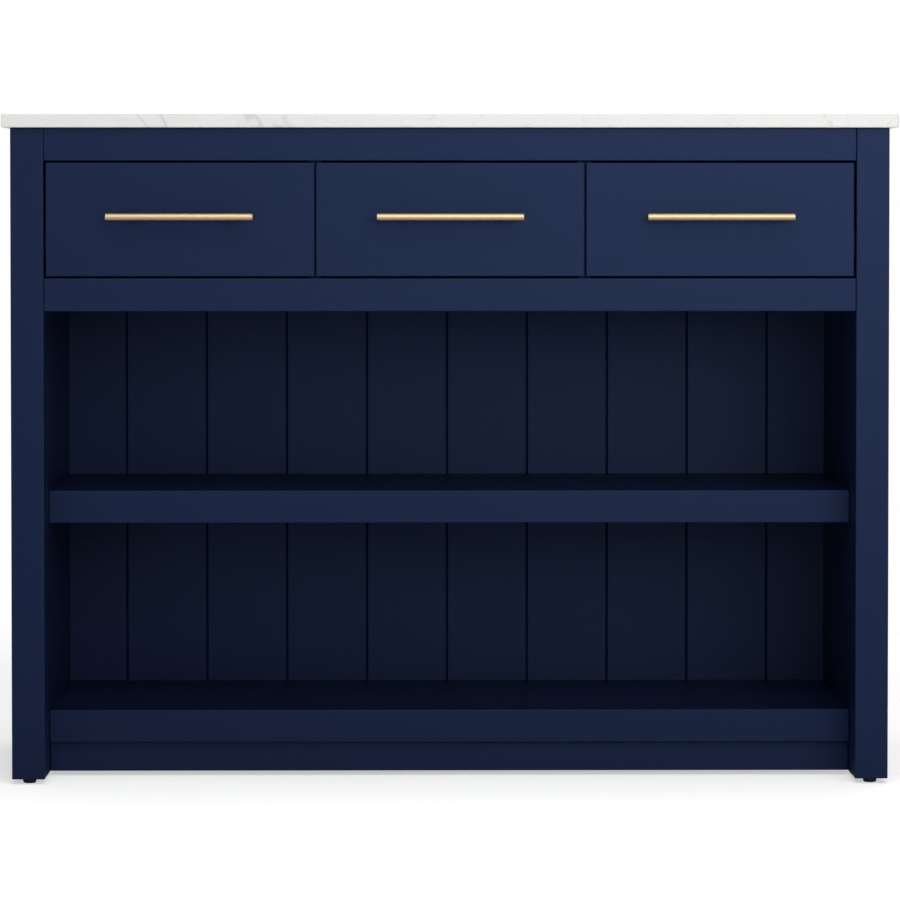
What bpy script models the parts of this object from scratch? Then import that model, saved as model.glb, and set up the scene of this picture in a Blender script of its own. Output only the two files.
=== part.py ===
"""Kitchen island: a painted frame under a stone top, three inset drawers over two open shelves.

Metres, +Z up, the front faces -Y and +X is to the right of someone standing in front.
The origin is on the floor at the middle of the overall box, which runs from the pulls in
front to the worktop's rear edge.
"""

import math

import bmesh
import bpy
from mathutils import Matrix, Vector

# ---- Driving dimensions ------------------------------------------------------------------

TOP_WIDTH = 1.219
TOP_DEPTH = 0.559
HEIGHT = 0.9144
TOP_THICKNESS = 0.018
SIDE_OVERHANG = 0.011
FRONT_OVERHANG = 0.012

POST = 0.045  # square section of the four posts
RAIL_HEIGHT = 0.045  # top rail, drawer rail and shelf nosings
RAIL_THICKNESS = 0.020
BOARD = 0.018  # shelves, dividers, nosings and toe kick
SKIN = 0.012  # inner skins of the side and rear walls
PANEL = 0.015  # outer skins
PANEL_RECESS = 0.003  # outer skins behind the posts' faces
DUST_PANEL = 0.015
DUST_PANEL_DROP = 0.003  # its top below the drawer rail's top

LEG_CLEARANCE = 0.007  # floor to the underside of the posts
BOTTOM_SHELF_TOP = 0.093
MIDDLE_SHELF_TOP = 0.397
DRAWER_OPENING = 0.160  # height between the top rail and the drawer rail
NOSING_SETBACK = 0.085  # behind the front of the posts
TOE_KICK_SETBACK = 0.097
BACK_PANEL_SETBACK = 0.487

DRAWERS = 3
DRAWER_FRONT = 0.018
DRAWER_TRAVEL_ROOM = 0.019  # behind a closed drawer box
SIDE_REVEAL = 0.0030  # drawer front to post
DRAWER_REVEAL = 0.0024  # drawer front to drawer front
RAIL_REVEAL = 0.0026  # drawer front to rail

BOX_BOARD = 0.012  # sides, inner front and back of a drawer box
BOX_HEIGHT = 0.120
BOX_RISE = 0.011  # drawer front's lower edge to the box's lower edge
BOX_BOTTOM = 0.006
BOX_BOTTOM_RISE = 0.010
BOX_GROOVE_DEPTH = 0.005

SLIDE_WIDTH = 0.0127  # room for a slide between a box and its compartment wall
SLIDE_RISE = 0.034  # box's lower edge to the slide's centre line
SLIDE_METAL = 0.0012
CABINET_SLIDE_HEIGHT = 0.0350
DRAWER_SLIDE_HEIGHT = 0.0240
SLIDE_SETBACK = 0.003  # behind the drawer front
SLIDE_BEND = 0.0016  # bend radius of the folded sheet
SLIDE_LIP = 0.0022  # the cabinet member's turned-in lips
CABINET_SLIDE_REACH = 0.0092  # from the bay's wall to the lips
DRAWER_SLIDE_REACH = 0.0040  # from the bay's wall to the inner member's edges

PULL_LENGTH = 0.200
PULL_RADIUS = 0.0050
PULL_POST_RADIUS = 0.0040
PULL_CENTRES = 0.128
PULL_PROJECTION = 0.035
PULL_RISE = 0.0035  # above the drawer front's middle
PULL_END_CHAMFER = 0.0007

BOARD_PITCH = 0.1173  # between the back panel's grooves
BACK_GROOVES = 9
SIDE_GROOVES = 3
REAR_GROOVES = 8
GROOVE_WIDTH = 0.005
FIELD_DEPTH = 0.004  # the outer panels' sunk fields
FIELD_BORDER = 0.060
GROOVE_STOP = 0.002  # where a groove ends, short of its field's border

PAD_RADIUS = 0.0092
PAD_HEIGHT = 0.0064
PAD_EDGE = 0.0034
PAD_STEPS = 5  # straight runs around the pad's rounded edge
STEM_RADIUS = 0.0040
STEM_TOP = 0.032
STEM_CHAMFER = 0.0006
BORE_ROOM = 0.002  # over the stem
STEM_CLEARANCE = 0.0004

FIT_GAP = 0.0003  # between pieces that touch
EASED = 0.0012  # rounded edge of a painted board
STONE_EDGE = 0.0016

# ---- Places worked out from them ---------------------------------------------------------

UNDERSIDE = HEIGHT - TOP_THICKNESS
HALF_BODY = TOP_WIDTH / 2 - SIDE_OVERHANG
INNER_X = HALF_BODY - POST  # inner face of the posts and of the side walls

REAR_EDGE = (PULL_PROJECTION + TOP_DEPTH - FRONT_OVERHANG) / 2
TOP_FRONT_Y = REAR_EDGE - TOP_DEPTH
FRONT_Y = TOP_FRONT_Y + FRONT_OVERHANG  # front of posts, rails and drawer fronts
REAR_Y = REAR_EDGE - FRONT_OVERHANG
RAIL_REAR_Y = FRONT_Y + RAIL_THICKNESS
BACK_PANEL_Y = FRONT_Y + BACK_PANEL_SETBACK

OPENING_TOP = UNDERSIDE - RAIL_HEIGHT
OPENING_BOTTOM = OPENING_TOP - DRAWER_OPENING
DRAWER_RAIL_BOTTOM = OPENING_BOTTOM - RAIL_HEIGHT
DUST_PANEL_TOP = OPENING_BOTTOM - DUST_PANEL_DROP

FRONT_WIDTH = (2 * INNER_X - 2 * SIDE_REVEAL - (DRAWERS - 1) * DRAWER_REVEAL) / DRAWERS
FRONT_PITCH = FRONT_WIDTH + DRAWER_REVEAL
FRONT_BOTTOM = OPENING_BOTTOM + RAIL_REVEAL
FRONT_TOP = OPENING_TOP - RAIL_REVEAL
FRONT_BACK_Y = FRONT_Y + DRAWER_FRONT
BOX_REAR_Y = BACK_PANEL_Y - DRAWER_TRAVEL_ROOM
BOX_LOW = FRONT_BOTTOM + BOX_RISE
BOX_TOP = BOX_LOW + BOX_HEIGHT
SLIDE_Z = BOX_LOW + SLIDE_RISE

DRAWER_NAMES = ("left", "middle", "right")
SIDES = (("left", -1), ("right", 1))


# ---- Materials and collections -----------------------------------------------------------

def material(name, colour, roughness, metallic=0.0):
    """A plain surface with one colour."""
    made = bpy.data.materials.new(name)
    made.use_nodes = True
    shader = made.node_tree.nodes["Principled BSDF"]
    shader.inputs["Base Color"].default_value = (*colour, 1.0)
    shader.inputs["Roughness"].default_value = roughness
    shader.inputs["Metallic"].default_value = metallic
    return made


def collection(name):
    """A new collection in the scene."""
    made = bpy.data.collections.new(name)
    bpy.context.scene.collection.children.link(made)
    return made


def clear_scene():
    """Remove every object that the file opened with."""
    for thing in list(bpy.data.objects):
        bpy.data.objects.remove(thing, do_unlink=True)


# ---- Pieces ------------------------------------------------------------------------------

class Workshop:
    """Makes named pieces in the part's collection, and their cutters in another."""

    def __init__(self):
        self.parts = collection("kitchen_island")
        self.cutters = collection("cutters")

    def empty(self, name, place):
        """A marker that moving pieces are parented to, on their joint's axis."""
        marker = bpy.data.objects.new(name, None)
        marker.location = place
        self.parts.objects.link(marker)
        return marker

    def add(self, name, mesh, place, surface, parent=None):
        """Put a mesh in the part as the piece called name."""
        mesh.name = name
        mesh.materials.append(surface)
        piece = bpy.data.objects.new(name, mesh)
        self.parts.objects.link(piece)
        piece.location = place
        if parent:
            piece.parent = parent
            piece.location -= parent.location
        return piece

    def cutter(self, name, mesh, place=(0, 0, 0)):
        """A hidden tool shape for Boolean modifiers."""
        tool = bpy.data.objects.new(name, mesh)
        self.cutters.objects.link(tool)
        tool.location = place
        tool.hide_render = True
        tool.display_type = "WIRE"
        return tool

    def box(self, name, low, high, surface, eased=0.0, parent=None):
        """A rectangular piece between two corners, with its origin in its middle."""
        piece = self.add(name, box_mesh(size_of(low, high)), middle_of(low, high), surface, parent)
        if eased:
            ease_edges(piece, eased)
        return piece

    def box_cutter(self, name, low, high):
        """A rectangular tool between two corners."""
        return self.cutter(name, box_mesh(size_of(low, high)), middle_of(low, high))


def size_of(low, high):
    """Edge lengths of the box between two corners."""
    return Vector(high) - Vector(low)


def middle_of(low, high):
    """Centre of the box between two corners."""
    return (Vector(low) + Vector(high)) / 2


def mesh_from(build):
    """The mesh that a function makes in an empty bmesh."""
    mesh = bpy.data.meshes.new("piece")
    shape = bmesh.new()
    build(shape)
    shape.to_mesh(mesh)
    shape.free()
    return mesh


def box_mesh(size):
    """A box of the given size around its own origin."""
    def build(shape):
        bmesh.ops.create_cube(shape, size=1.0, matrix=Matrix.Diagonal((*size, 1.0)))
    return mesh_from(build)


def rod_mesh(radius, length, axis, segments=24):
    """A cylinder around its own origin, along the axis letter."""
    turn = {
        "X": Matrix.Rotation(math.pi / 2, 4, "Y"),
        "Y": Matrix.Rotation(math.pi / 2, 4, "X"),
        "Z": Matrix.Identity(4),
    }[axis]

    def build(shape):
        bmesh.ops.create_cone(
            shape, cap_ends=True, segments=segments,
            radius1=radius, radius2=radius, depth=length, matrix=turn,
        )
    mesh = mesh_from(build)
    mesh.shade_smooth()
    mesh.set_sharp_from_angle(angle=math.radians(40))
    return mesh


def ease_edges(piece, width, segments=3):
    """Round a piece's sharp edges."""
    bevel = piece.modifiers.new("eased_edges", "BEVEL")
    bevel.width = width
    bevel.segments = segments
    bevel.limit_method = "ANGLE"
    bevel.angle_limit = math.radians(50)


def cut(piece, *tools):
    """Take each tool's shape out of a piece."""
    for tool in tools:
        boolean = piece.modifiers.new("cut", "BOOLEAN")
        boolean.operation = "DIFFERENCE"
        boolean.object = tool


def join(piece, *tools):
    """Unite a piece with each tool's shape."""
    for tool in tools:
        boolean = piece.modifiers.new("join", "BOOLEAN")
        boolean.operation = "UNION"
        boolean.object = tool


def groove_mesh(count, pitch, length, axis):
    """Diamond bars along Z in a row about the origin, along the axis letter X or Y."""
    side = GROOVE_WIDTH / math.sqrt(2)
    lengthwise = Matrix.Diagonal((side, side, length, 1.0))
    quarter_turn = Matrix.Rotation(math.pi / 4, 4, "Z")

    def build(shape):
        for index in range(count):
            along = (index - (count - 1) / 2) * pitch
            place = (along, 0, 0) if axis == "X" else (0, along, 0)
            matrix = Matrix.Translation(place) @ quarter_turn @ lengthwise
            bmesh.ops.create_cube(shape, size=1.0, matrix=matrix)
    return mesh_from(build)


def rounded_path(points, radius, steps=3):
    """A 2-D path with an arc of the given radius in place of each inner corner."""
    path = [Vector(points[0])]
    for before, corner, after in zip(points, points[1:], points[2:]):
        corner = Vector(corner)
        inward = (Vector(before) - corner).normalized()
        outward = (Vector(after) - corner).normalized()
        half = inward.angle(outward) / 2
        centre = corner + (inward + outward).normalized() * radius / math.sin(half)
        start = (corner + inward * radius / math.tan(half) - centre).normalized()
        end = (corner + outward * radius / math.tan(half) - centre).normalized()
        for step in range(steps + 1):
            path.append(centre + start.slerp(end, step / steps) * radius)
    path.append(Vector(points[-1]))
    return path


def channel_mesh(path, length):
    """Folded sheet: an X-Z path drawn along Y about the origin, left for Solidify to thicken."""
    def build(shape):
        rows = [
            [shape.verts.new((x, end * length / 2, z)) for x, z in path]
            for end in (-1, 1)
        ]
        for near, far in zip(zip(rows[0], rows[0][1:]), zip(rows[1], rows[1][1:])):
            shape.faces.new((near[0], near[1], far[1], far[0]))
    return mesh_from(build)


# ---- Cabinet -----------------------------------------------------------------------------

def make_worktop(shop, surface):
    """The stone slab."""
    low = (-TOP_WIDTH / 2, TOP_FRONT_Y, UNDERSIDE)
    high = (TOP_WIDTH / 2, REAR_EDGE, HEIGHT)
    shop.box("worktop", low, high, surface, STONE_EDGE)


def foot_places():
    """Name and floor position of each levelling foot, under the middle of its post."""
    for depth, y in (("front", FRONT_Y + POST / 2), ("rear", REAR_Y - POST / 2)):
        for side, sign in SIDES:
            yield f"{depth}_{side}", (sign * (INNER_X + POST / 2), y)


def make_posts(shop, surface):
    """Four posts, each bored from below for its foot's stem."""
    for name, (x, y) in foot_places():
        low = (x - POST / 2, y - POST / 2, LEG_CLEARANCE)
        high = (x + POST / 2, y + POST / 2, UNDERSIDE - FIT_GAP)
        post = shop.box(f"{name}_post", low, high, surface, EASED)
        bore_depth = STEM_TOP + BORE_ROOM - LEG_CLEARANCE
        bore = shop.cutter(
            f"{name}_stem_bore",
            rod_mesh(STEM_RADIUS + STEM_CLEARANCE, 2 * bore_depth, "Z"),
            (x, y, LEG_CLEARANCE),
        )
        cut(post, bore)


def make_side_walls(shop, surface):
    """Each side wall: a plain inner skin flush with the posts, and a grooved outer panel."""
    front = FRONT_Y + POST + FIT_GAP
    rear = REAR_Y - POST - FIT_GAP
    low_z = LEG_CLEARANCE
    high_z = UNDERSIDE - FIT_GAP
    middle_y = (front + rear) / 2
    outer_face = HALF_BODY - PANEL_RECESS
    field_length = high_z - low_z - 2 * (FIELD_BORDER + GROOVE_STOP)
    for side, sign in SIDES:
        skin_x = sorted((sign * INNER_X, sign * (INNER_X + SKIN)))
        shop.box(
            f"{side}_wall_lining",
            (skin_x[0], front, low_z), (skin_x[1], rear, high_z), surface,
        )
        panel_x = sorted((sign * outer_face, sign * (outer_face - PANEL)))
        panel = shop.box(
            f"{side}_side_panel",
            (panel_x[0], front, low_z), (panel_x[1], rear, high_z), surface,
        )
        field_x = sorted((sign * (outer_face - FIELD_DEPTH), sign * (outer_face + 0.01)))
        field = shop.box_cutter(
            f"{side}_side_field",
            (field_x[0], front - 0.01, low_z + FIELD_BORDER),
            (field_x[1], rear + 0.01, high_z - FIELD_BORDER),
        )
        grooves = shop.cutter(
            f"{side}_side_grooves",
            groove_mesh(SIDE_GROOVES, BOARD_PITCH, field_length, "Y"),
            (sign * (outer_face - FIELD_DEPTH), middle_y, (low_z + high_z) / 2),
        )
        cut(panel, field, grooves)


def make_rear_wall(shop, surface):
    """Grooved back panel, two rails behind it and a grooved outer panel between the posts."""
    half = INNER_X - FIT_GAP
    low_z = LEG_CLEARANCE
    high_z = UNDERSIDE - FIT_GAP
    middle_z = (low_z + high_z) / 2
    back = shop.box(
        "back_panel",
        (-half, BACK_PANEL_Y, low_z), (half, BACK_PANEL_Y + SKIN, high_z), surface,
    )
    grooves = shop.cutter(
        "back_grooves",
        groove_mesh(BACK_GROOVES, BOARD_PITCH, high_z - low_z + 0.02, "X"),
        (0, BACK_PANEL_Y, middle_z),
    )
    cut(back, grooves)

    outer_face = REAR_Y - PANEL_RECESS
    field_length = high_z - low_z - 2 * (FIELD_BORDER + GROOVE_STOP)
    rear = shop.box(
        "rear_panel",
        (-half, outer_face - PANEL, low_z), (half, outer_face, high_z), surface,
    )
    field = shop.box_cutter(
        "rear_field",
        (-half - 0.01, outer_face - FIELD_DEPTH, low_z + FIELD_BORDER),
        (half + 0.01, outer_face + 0.01, high_z - FIELD_BORDER),
    )
    rear_grooves = shop.cutter(
        "rear_grooves",
        groove_mesh(REAR_GROOVES, BOARD_PITCH, field_length, "X"),
        (0, outer_face - FIELD_DEPTH, middle_z),
    )
    cut(rear, field, rear_grooves)

    front_y = BACK_PANEL_Y + SKIN + FIT_GAP
    rear_y = outer_face - PANEL - FIT_GAP
    shop.box(
        "rear_top_rail",
        (-half, front_y, high_z - FIELD_BORDER), (half, rear_y, high_z), surface,
    )
    shop.box(
        "rear_bottom_rail",
        (-half, front_y, low_z), (half, rear_y, low_z + FIELD_BORDER), surface,
    )


def make_front_rails(shop, surface):
    """The rail under the worktop and the rail under the drawers."""
    half = INNER_X - FIT_GAP
    for name, low_z, high_z in (
        ("top_rail", OPENING_TOP, UNDERSIDE - FIT_GAP),
        ("drawer_rail", DRAWER_RAIL_BOTTOM, OPENING_BOTTOM),
    ):
        low = (-half, FRONT_Y, low_z)
        high = (half, RAIL_REAR_Y, high_z)
        shop.box(name, low, high, surface, EASED)


def make_shelf(shop, name, top, surface):
    """A full-width shelf board with its thick nosing in front."""
    half = INNER_X - FIT_GAP
    nosing_front = FRONT_Y + NOSING_SETBACK
    nosing_rear = nosing_front + BOARD
    shop.box(
        f"{name}_shelf",
        (-half, nosing_rear + FIT_GAP, top - BOARD),
        (half, BACK_PANEL_Y - FIT_GAP, top), surface,
    )
    shop.box(
        f"{name}_shelf_nosing",
        (-half, nosing_front, top - RAIL_HEIGHT), (half, nosing_rear, top), surface, EASED,
    )


def make_toe_kick(shop, surface):
    """The board set back under the bottom shelf."""
    half = INNER_X - FIT_GAP
    front = FRONT_Y + TOE_KICK_SETBACK
    high_z = BOTTOM_SHELF_TOP - RAIL_HEIGHT - FIT_GAP
    shop.box(
        "toe_kick", (-half, front, LEG_CLEARANCE), (half, front + BOARD, high_z), surface, EASED,
    )


def make_drawer_bay(shop, surface):
    """The dust panel under the drawers, and the dividers that stand on it."""
    half = INNER_X - FIT_GAP
    front = RAIL_REAR_Y + FIT_GAP
    rear = BACK_PANEL_Y - FIT_GAP
    shop.box(
        "dust_panel",
        (-half, front, DUST_PANEL_TOP - DUST_PANEL), (half, rear, DUST_PANEL_TOP), surface,
    )
    for side, sign in SIDES:
        x = sign * FRONT_PITCH / 2
        shop.box(
            f"{side}_drawer_divider",
            (x - BOARD / 2, front, DUST_PANEL_TOP + FIT_GAP),
            (x + BOARD / 2, rear, UNDERSIDE - FIT_GAP), surface,
        )


def make_feet(shop, surface):
    """Turned levelling feet: a pad on the floor and a stem up into the post."""
    profile = [
        (0, STEM_TOP),
        (STEM_RADIUS - STEM_CHAMFER, STEM_TOP),
        (STEM_RADIUS, STEM_TOP - STEM_CHAMFER),
        (STEM_RADIUS, PAD_HEIGHT),
        (PAD_RADIUS - STEM_CHAMFER, PAD_HEIGHT),
        (PAD_RADIUS, PAD_HEIGHT - STEM_CHAMFER),
    ]
    for step in range(PAD_STEPS + 1):
        angle = math.pi / 2 * step / PAD_STEPS
        r = PAD_RADIUS - PAD_EDGE + PAD_EDGE * math.cos(angle)
        profile.append((r, PAD_EDGE - PAD_EDGE * math.sin(angle)))
    profile.append((0, 0))
    for name, (x, y) in foot_places():
        mesh = bpy.data.meshes.new(name)
        edges = [(index, index + 1) for index in range(len(profile) - 1)]
        mesh.from_pydata([(r, 0, z) for r, z in profile], edges, [])
        foot = shop.add(f"{name}_foot", mesh, (x, y, 0), surface)
        turn = foot.modifiers.new("turn", "SCREW")
        turn.axis = "Z"
        turn.steps = 20
        turn.render_steps = 20
        turn.use_merge_vertices = True
        turn.merge_threshold = 0.0001
        turn.use_smooth_shade = True


# ---- Drawers -----------------------------------------------------------------------------

def bay_walls(index):
    """X of a drawer bay's left and right walls: a side wall's lining, or a divider's face."""
    middle = (index - (DRAWERS - 1) / 2) * FRONT_PITCH
    reach = FRONT_PITCH / 2 - BOARD / 2
    left = -INNER_X if index == 0 else middle - reach
    right = INNER_X if index == DRAWERS - 1 else middle + reach
    return left, right


def slide_path(reach, web, half_height, lip):
    """Centre line of a folded slide member: its web at x = web, its flanges out to x = reach."""
    points = [
        (reach, -half_height), (web, -half_height),
        (web, half_height), (reach, half_height),
    ]
    if lip:
        points.insert(0, (reach, -half_height + lip))
        points.append((reach, half_height - lip))
    return rounded_path(points, SLIDE_BEND)


def make_slide(shop, drawer, side, sign, wall_x, steel, parent):
    """One slide: the member on the bay's wall, and the member on the drawer box inside it."""
    inward = -sign
    half_metal = SLIDE_METAL / 2
    front = FRONT_BACK_Y + SLIDE_SETBACK
    length = BOX_REAR_Y - front
    middle_y = front + length / 2
    cabinet_web = FIT_GAP + half_metal
    drawer_web = SLIDE_WIDTH - FIT_GAP - half_metal
    members = (
        ("cabinet_slide", CABINET_SLIDE_HEIGHT, cabinet_web, CABINET_SLIDE_REACH, SLIDE_LIP, None),
        ("drawer_slide", DRAWER_SLIDE_HEIGHT, drawer_web, DRAWER_SLIDE_REACH, 0, parent),
    )
    for name, height, web, reach, lip, owner in members:
        path = [
            (inward * across, up)
            for across, up in slide_path(reach, web, height / 2 - half_metal, lip)
        ]
        member = shop.add(
            f"{drawer}_{name}_{side}", channel_mesh(path, length),
            (wall_x, middle_y, SLIDE_Z), steel, owner,
        )
        sheet = member.modifiers.new("sheet", "SOLIDIFY")
        sheet.thickness = SLIDE_METAL
        sheet.offset = 0
        sheet.use_even_offset = True


def make_box(shop, drawer, low_x, high_x, wood, parent):
    """A drawer box: sides, inner front and back, grooved for the bottom that slips in."""
    front = FRONT_BACK_Y + FIT_GAP
    bottom_z = BOX_LOW + BOX_BOTTOM_RISE
    reach = BOX_BOARD - BOX_GROOVE_DEPTH
    groove = shop.box_cutter(
        f"{drawer}_bottom_groove",
        (low_x + reach, front + reach, bottom_z),
        (high_x - reach, BOX_REAR_Y - reach, bottom_z + BOX_BOTTOM + 2 * FIT_GAP),
    )
    sides = (
        ("side_left", low_x, low_x + BOX_BOARD),
        ("side_right", high_x - BOX_BOARD, high_x),
    )
    for name, start, end in sides:
        board = shop.box(
            f"{drawer}_drawer_{name}", (start, front, BOX_LOW), (end, BOX_REAR_Y, BOX_TOP),
            wood, parent=parent,
        )
        cut(board, groove)
    ends = (
        ("inner_front", front, front + BOX_BOARD),
        ("back", BOX_REAR_Y - BOX_BOARD, BOX_REAR_Y),
    )
    for name, start, end in ends:
        board = shop.box(
            f"{drawer}_drawer_{name}",
            (low_x + BOX_BOARD + FIT_GAP, start, BOX_LOW),
            (high_x - BOX_BOARD - FIT_GAP, end, BOX_TOP), wood, parent=parent,
        )
        cut(board, groove)
    shop.box(
        f"{drawer}_drawer_bottom",
        (low_x + reach + FIT_GAP, front + reach + FIT_GAP, bottom_z + FIT_GAP),
        (high_x - reach - FIT_GAP, BOX_REAR_Y - reach - FIT_GAP, bottom_z + FIT_GAP + BOX_BOTTOM),
        wood, parent=parent,
    )


def make_pull(shop, drawer, x, brass, parent):
    """A round bar held off the drawer front by two round posts."""
    z = (FRONT_BOTTOM + FRONT_TOP) / 2 + PULL_RISE
    bar_y = FRONT_Y - PULL_PROJECTION + PULL_RADIUS
    bar = shop.add(
        f"{drawer}_drawer_pull", rod_mesh(PULL_RADIUS, PULL_LENGTH, "X"), (x, bar_y, z), brass, parent,
    )
    ease_edges(bar, PULL_END_CHAMFER, 1)
    length = FRONT_Y - FIT_GAP - bar_y
    for side, sign in SIDES:
        post = shop.cutter(
            f"{drawer}_pull_post_{side}",
            rod_mesh(PULL_POST_RADIUS, length, "Y", 16),
            (x + sign * PULL_CENTRES / 2, bar_y + length / 2, z),
        )
        join(bar, post)


def make_drawer(shop, index, paints):
    """One drawer with its slides, built in its bay."""
    drawer = DRAWER_NAMES[index]
    x = (index - (DRAWERS - 1) / 2) * FRONT_PITCH
    slide_axis = shop.empty(f"{drawer}_drawer_travel", (x, FRONT_Y, SLIDE_Z))
    shop.box(
        f"{drawer}_drawer_front",
        (x - FRONT_WIDTH / 2, FRONT_Y, FRONT_BOTTOM),
        (x + FRONT_WIDTH / 2, FRONT_BACK_Y, FRONT_TOP), paints["navy"], EASED, slide_axis,
    )
    left, right = bay_walls(index)
    make_box(shop, drawer, left + SLIDE_WIDTH, right - SLIDE_WIDTH, paints["birch"], slide_axis)
    make_pull(shop, drawer, x, paints["brass"], slide_axis)
    for side, sign, wall in (("left", -1, left), ("right", 1, right)):
        make_slide(shop, drawer, side, sign, wall, paints["steel"], slide_axis)


def main():
    """Build the whole island."""
    clear_scene()
    shop = Workshop()
    paints = {
        "stone": material("white_veined_stone", (0.80, 0.80, 0.78), 0.25),
        "navy": material("navy_lacquer", (0.016, 0.026, 0.070), 0.35),
        "birch": material("birch", (0.66, 0.50, 0.33), 0.5),
        "brass": material("brushed_brass", (0.62, 0.45, 0.24), 0.32, 1.0),
        "steel": material("zinc_steel", (0.56, 0.57, 0.58), 0.3, 1.0),
        "nylon": material("black_nylon", (0.012, 0.012, 0.012), 0.5),
    }
    make_worktop(shop, paints["stone"])
    make_posts(shop, paints["navy"])
    make_side_walls(shop, paints["navy"])
    make_rear_wall(shop, paints["navy"])
    make_front_rails(shop, paints["navy"])
    make_shelf(shop, "middle", MIDDLE_SHELF_TOP, paints["navy"])
    make_shelf(shop, "bottom", BOTTOM_SHELF_TOP, paints["navy"])
    make_toe_kick(shop, paints["navy"])
    make_drawer_bay(shop, paints["navy"])
    make_feet(shop, paints["nylon"])
    for index in range(DRAWERS):
        make_drawer(shop, index, paints)


main()
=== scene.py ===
"""Looks of a kitchen island: stone top, lacquered boards, birch drawers and brass pulls."""

import math

import bmesh
import bpy
from bpy.props import FloatProperty, FloatVectorProperty, PointerProperty
from mathutils import Euler, Matrix, Vector


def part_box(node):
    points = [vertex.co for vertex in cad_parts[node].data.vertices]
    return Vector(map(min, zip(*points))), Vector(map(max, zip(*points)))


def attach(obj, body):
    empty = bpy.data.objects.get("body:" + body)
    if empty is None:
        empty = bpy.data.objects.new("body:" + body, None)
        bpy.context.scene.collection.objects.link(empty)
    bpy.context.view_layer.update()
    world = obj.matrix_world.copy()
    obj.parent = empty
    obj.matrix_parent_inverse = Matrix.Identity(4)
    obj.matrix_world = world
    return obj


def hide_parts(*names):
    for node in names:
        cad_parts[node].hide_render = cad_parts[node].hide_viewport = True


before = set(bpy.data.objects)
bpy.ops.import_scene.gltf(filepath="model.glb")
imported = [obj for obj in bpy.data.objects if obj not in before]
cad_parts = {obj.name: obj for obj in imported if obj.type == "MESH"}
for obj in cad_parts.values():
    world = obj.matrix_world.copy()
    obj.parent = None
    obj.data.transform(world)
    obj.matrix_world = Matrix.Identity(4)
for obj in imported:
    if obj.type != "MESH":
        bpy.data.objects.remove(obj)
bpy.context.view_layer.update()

bl_info = {
    "name": "Kitchen island looks",
    "version": (1, 0, 0),
    "blender": (4, 5, 0),
    "location": "View3D > Sidebar > Island",
    "description": "Builds the visible pieces and finishes of a kitchen island around its frame",
    "category": "Object",
}

CAMERA_PLACE = (-0.064, -6.656, 0.798)
CAMERA_TILT = 1.95  # degrees below level
CAMERA_TURN = 0.57  # degrees to the right
LIGHT_AIM = Vector((0.0, -0.25, 0.6))
LIGHT_DISTANCE = 4.0
FLOOR_RADIUS = 3.0
DRAWERS = ("left", "middle", "right")
SIDES = ("left", "right")


# ---- Settings ----------------------------------------------------------------------------

def colour_setting(name, description, default):
    """A colour in linear light."""
    return FloatVectorProperty(
        name=name, description=description, default=default,
        subtype="COLOR", size=3, min=0.0, max=1.0,
    )


def length_setting(name, description, default):
    """A length in metres."""
    return FloatProperty(
        name=name, description=description, default=default,
        min=0.0, unit="LENGTH", precision=4,
    )


def power_setting(name, description, default):
    """A light's power in watts."""
    return FloatProperty(
        name=name, description=description, default=default, min=0.0, unit="POWER",
    )


class IslandFinishes(bpy.types.PropertyGroup):
    """Colours of the island's surfaces."""

    stone: colour_setting("Stone", "Ground of the worktop", (0.80, 0.80, 0.785))
    vein: colour_setting("Vein", "Fine veins in the worktop", (0.36, 0.36, 0.36))
    lacquer: colour_setting("Lacquer", "Satin lacquer on the boards", (0.0054, 0.0085, 0.0348))
    lacquer_sheen: colour_setting(
        "Lacquer sheen", "Tint of the lacquer's reflections", (0.32, 0.52, 1.0)
    )
    birch: colour_setting("Birch", "Pale wood of the drawer boxes", (0.66, 0.48, 0.30))
    birch_grain: colour_setting("Birch grain", "Darker lines in the birch", (0.47, 0.31, 0.17))
    brass: colour_setting("Brass", "Brushed pulls", (0.60, 0.44, 0.245))
    steel: colour_setting("Steel", "Zinc-plated slides and screws", (0.58, 0.59, 0.61))
    nylon: colour_setting("Nylon", "Pads of the levelling feet", (0.012, 0.012, 0.013))


class IslandSizes(bpy.types.PropertyGroup):
    """Sizes of the details that the frame leaves out."""

    plank_pitch: length_setting("Plank pitch", "Width of one plank", 0.1173)
    plank_chamfer: length_setting("Plank chamfer", "Bevel along each plank", 0.0017)
    plank_gap: length_setting("Plank gap", "Gap between planks", 0.0004)
    border: length_setting("Border", "Rails above and below the outer planks", 0.060)
    field_depth: length_setting("Field depth", "Outer planks behind their rails", 0.004)
    eased_edge: length_setting("Eased edge", "Rounding of a painted board", 0.0012)
    box_board: length_setting("Box board", "Thickness of a drawer box's boards", 0.012)
    pin_slope: length_setting("Pin slope", "How far a dovetail flares on each side", 0.0017)
    joint_gap: length_setting("Joint gap", "Room between pins and tails", 0.0001)
    bar_radius: length_setting("Bar radius", "Half the thickness of a pull's bar", 0.0050)
    post_radius: length_setting("Post radius", "Half the thickness of a pull's posts", 0.0040)
    post_centres: length_setting("Post centres", "Between the posts of a pull", 0.128)


class StudioSettings(bpy.types.PropertyGroup):
    """Camera, lights and floor."""

    lens: FloatProperty(name="Lens", description="Focal length in millimetres", default=188.0)
    key: power_setting("Key", "Low softbox in front, to the right", 54.0)
    front: power_setting("Front", "High softbox in front", 50.0)
    fill: power_setting("Fill", "Softbox in front, to the left", 12.0)
    rear: power_setting("Rear", "Softbox behind the island", 38.0)
    top: power_setting("Top", "Overhead softbox", 135.0)
    floor_glow: FloatProperty(
        name="Floor glow", description="How much the floor is whitened to the eye", default=0.52
    )
    air_below: FloatProperty(
        name="Air below", description="Brightness below the horizon", default=0.75
    )
    air_above: FloatProperty(
        name="Air above", description="Brightness just above the horizon", default=0.14
    )


# ---- Shaders -----------------------------------------------------------------------------

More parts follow.
